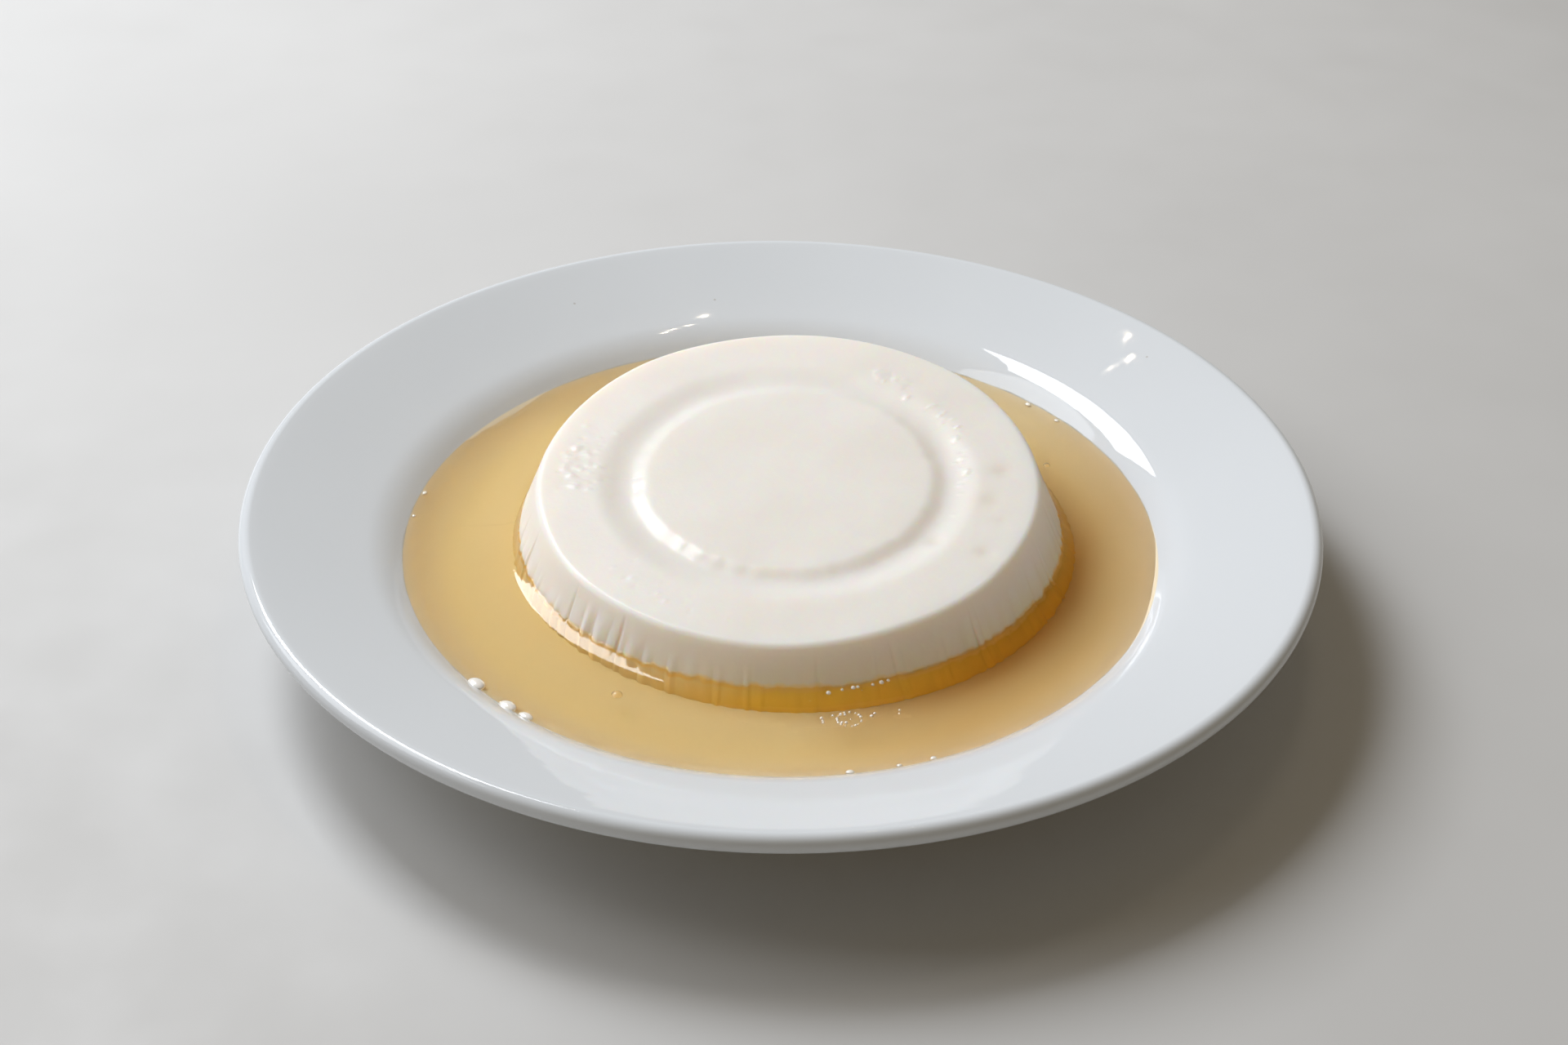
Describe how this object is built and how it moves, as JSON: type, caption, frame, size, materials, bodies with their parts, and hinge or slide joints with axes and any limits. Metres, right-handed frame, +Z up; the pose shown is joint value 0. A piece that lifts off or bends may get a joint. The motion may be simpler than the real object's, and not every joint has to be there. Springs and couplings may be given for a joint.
{
  "type": "panna cotta",
  "caption": "Round set cream dessert with a crimped side and a ring groove on top, standing in an amber syrup pool in a white soup plate.",
  "frame": {"origin": "on the table under the middle of the plate, at the bottom of the foot ring", "axes": "+Z up; -Y towards the diner, the side the dessert's top leans to; +X to the diner's right"},
  "size_m": [0.22, 0.22, 0.0293],
  "materials": {
    "plate_glaze": "smooth glossy white porcelain glaze, bare on the foot ring",
    "syrup": "wet, clear amber syrup, stands for a liquid",
    "cream": "soft satin set cream, slightly wet, stands for food"
  },
  "bodies": {
    "root": {"plate": "plate_glaze", "syrup": "syrup", "panna_cotta": "cream"}
  },
  "joints": []
}
